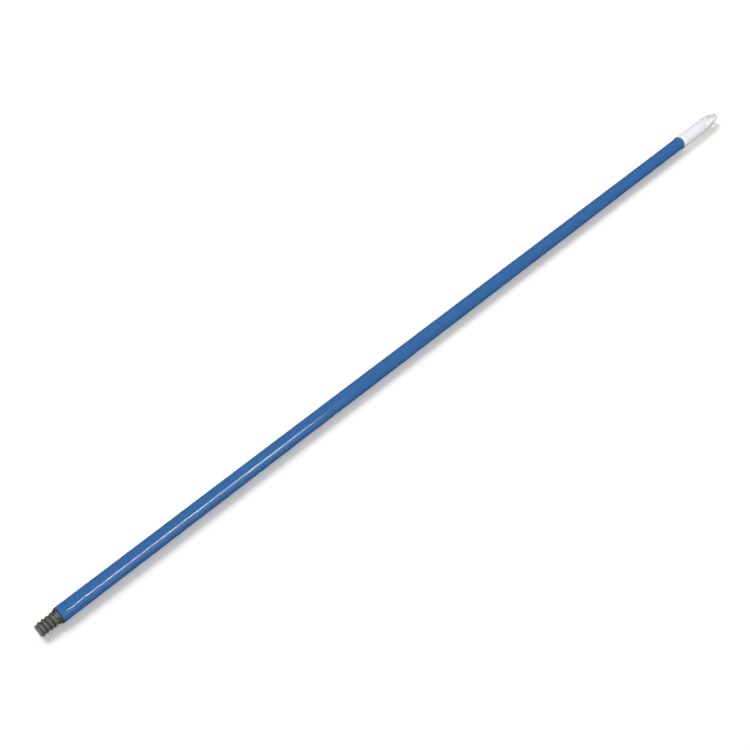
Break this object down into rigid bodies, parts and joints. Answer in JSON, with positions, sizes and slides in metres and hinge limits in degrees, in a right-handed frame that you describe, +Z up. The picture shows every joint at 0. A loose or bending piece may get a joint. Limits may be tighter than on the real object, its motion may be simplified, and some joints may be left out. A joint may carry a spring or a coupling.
{
  "type": "threaded pole handle",
  "caption": "Long plastic-covered metal pole with a coarse-threaded screw-in tip at one end and a cap with a swivelling hanger at the other.",
  "frame": {"origin": "centre of the threaded tip's end face, on the pole's axis", "axes": "+X along the pole from the tip to the hanger, +Z up as the pole lies on a floor, +Y to the left of +X"},
  "size_m": [1.524, 0.025, 0.025],
  "materials": {
    "tube_metal": "bare thin-wall steel tube",
    "blue_skin": "smooth glossy blue plastic covering",
    "tip_plastic": "dark grey moulded nylon, satin with light-catching crests",
    "cap_plastic": "white moulded plastic, soft gloss",
    "ring_plastic": "white moulded plastic, soft gloss",
    "hanger_plastic": "white moulded plastic, soft gloss, a little warmer than the cap",
    "screw_steel": "zinc-plated steel",
    "washer_steel": "zinc-plated steel"
  },
  "bodies": {
    "pole": {"pole_tube": "tube_metal", "pole_skin": "blue_skin", "threaded_tip": "tip_plastic", "end_cap": "cap_plastic", "thrust_ring": "ring_plastic", "screw_washer": "washer_steel"},
    "hanger": {"hanger": "hanger_plastic", "swivel_screw": "screw_steel"}
  },
  "joints": [
    {"name": "hanger_swivel", "type": "hinge", "parent": "pole", "child": "hanger", "pos_m": [1.4745, 0, 0], "axis": [1, 0, 0], "continuous": true}
  ]
}
